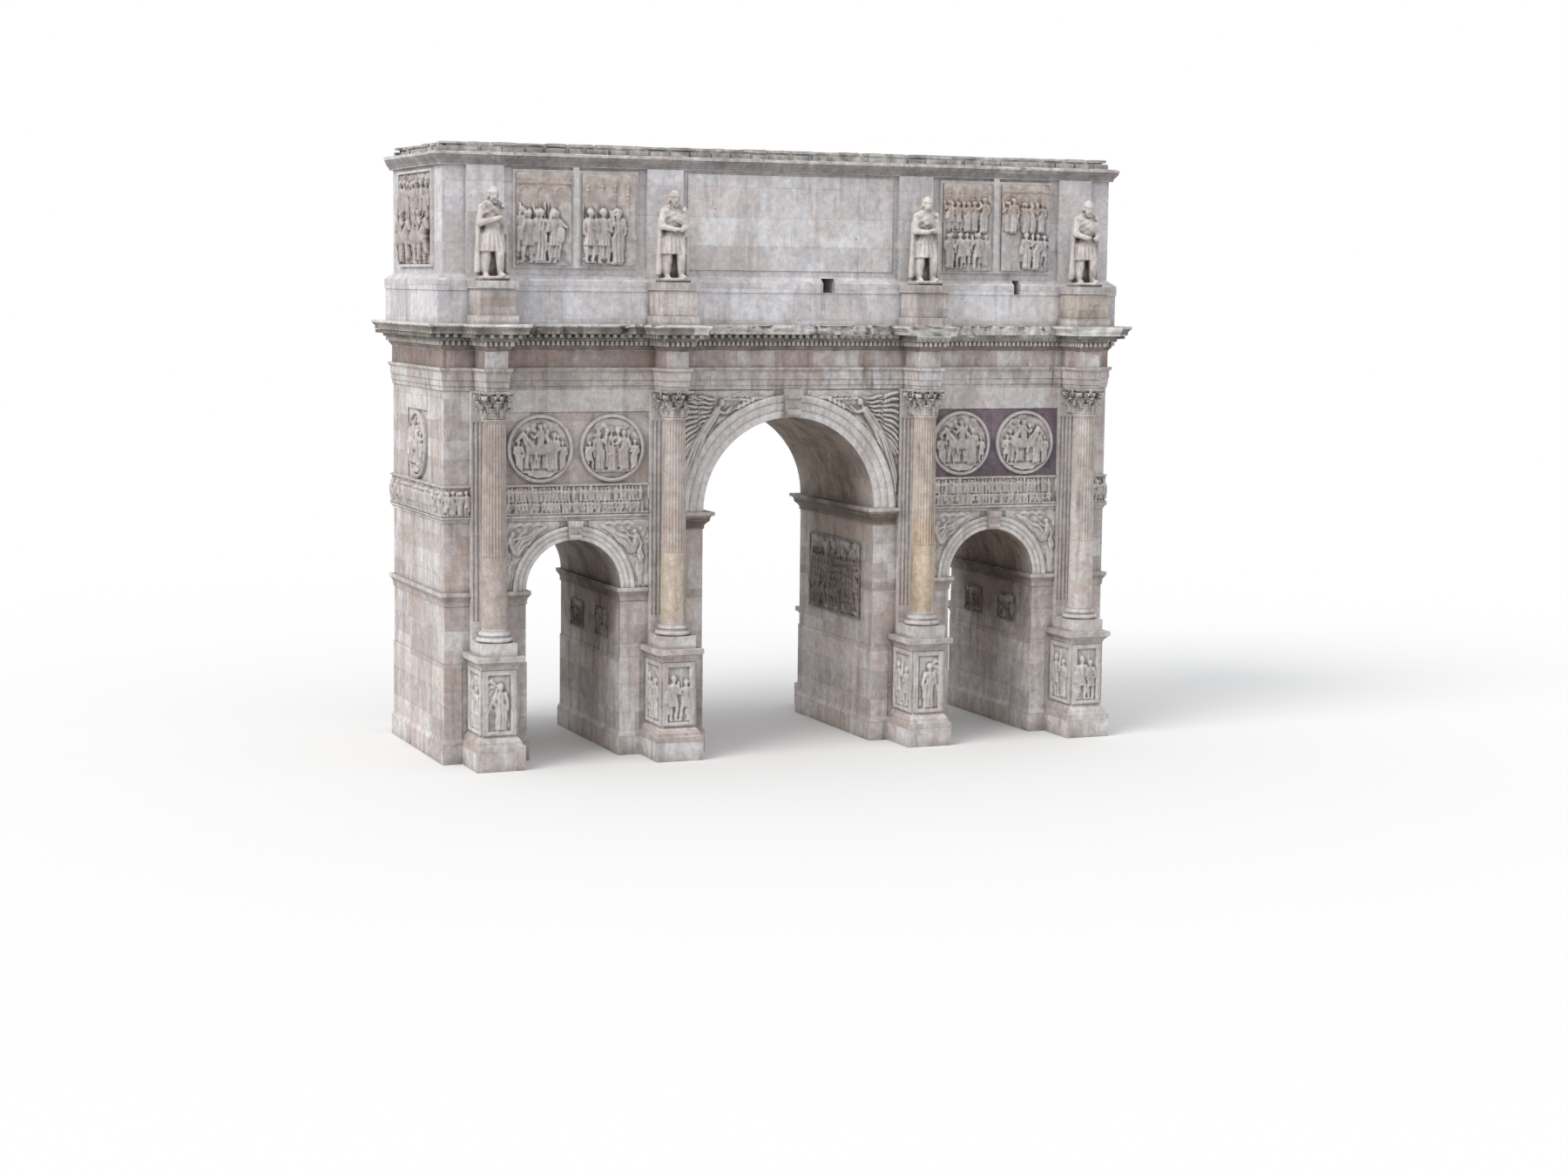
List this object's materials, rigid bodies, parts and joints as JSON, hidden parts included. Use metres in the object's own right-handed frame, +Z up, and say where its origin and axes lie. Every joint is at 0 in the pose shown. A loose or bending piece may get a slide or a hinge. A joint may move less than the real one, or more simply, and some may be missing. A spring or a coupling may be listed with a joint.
{
  "type": "triumphal arch",
  "caption": "Marble triumphal arch with a wide central passage, lower side passages, free-standing fluted columns on pedestals, a broken entablature and a hollow attic with figures and reliefs",
  "frame": {"origin": "on the ground at the middle of the plan", "axes": "X runs along the front from left to right, the pictured front faces -Y, Z is up"},
  "size_m": [26.38, 11.04, 20.96],
  "materials": {
    "wall_marble": "weathered white-grey marble blocks with pink and buff stains",
    "pale_marble": "pale marble with grey streaks",
    "attic_marble": "pale grey-white marble slabs with cracks and stains",
    "column_marble": "yellow-buff marble with pinkish patches",
    "dark_marble": "carved marble darkened by soot and lichen",
    "weathered_cornice": "heavily weathered marble, grey-brown with lichen",
    "frieze_stone": "grey-brown and reddish slabs with vertical stains",
    "carved_marble": "carved marble with dark grime in the hollows",
    "dark_relief": "dark battered carved stone",
    "porphyry": "dull purple porphyry slabs",
    "figure_marble": "cream marble with grime in the folds",
    "roof_stone": "rough grey stone"
  },
  "bodies": {
    "root": {"pier_outer_left": "wall_marble", "pier_inner_left": "wall_marble", "pier_inner_right": "wall_marble", "pier_outer_right": "wall_marble", "side_imposts": "wall_marble", "side_arch_left": "wall_marble", "side_arch_right": "wall_marble", "central_imposts": "wall_marble", "upper_wall_left": "wall_marble", "central_arch": "wall_marble", "upper_wall_right": "wall_marble", "arch_rings": "pale_marble", "keystones": "pale_marble", "string_courses": "pale_marble", "frieze_bands": "carved_marble", "roundels": "carved_marble", "purple_slabs": "porphyry", "spandrel_reliefs": "carved_marble", "passage_reliefs": "dark_relief", "pedestals": "wall_marble", "pilasters": "wall_marble", "column_bases": "pale_marble", "column_shafts_front": "column_marble", "column_shafts_back": "column_marble", "capitals_front": "dark_marble", "capitals_back": "dark_marble", "architrave": "pale_marble", "frieze": "frieze_stone", "cornice": "weathered_cornice", "attic_front_wall": "attic_marble", "attic_back_wall": "attic_marble", "attic_left_wall": "attic_marble", "attic_right_wall": "attic_marble", "attic_strips": "attic_marble", "attic_reliefs": "carved_marble", "plain_fields": "attic_marble", "figure_pedestals": "attic_marble", "figures_front": "figure_marble", "figures_back": "figure_marble", "attic_cornice": "attic_marble", "attic_roof": "roof_stone", "roof_kerbs": "roof_stone"}
  },
  "joints": []
}
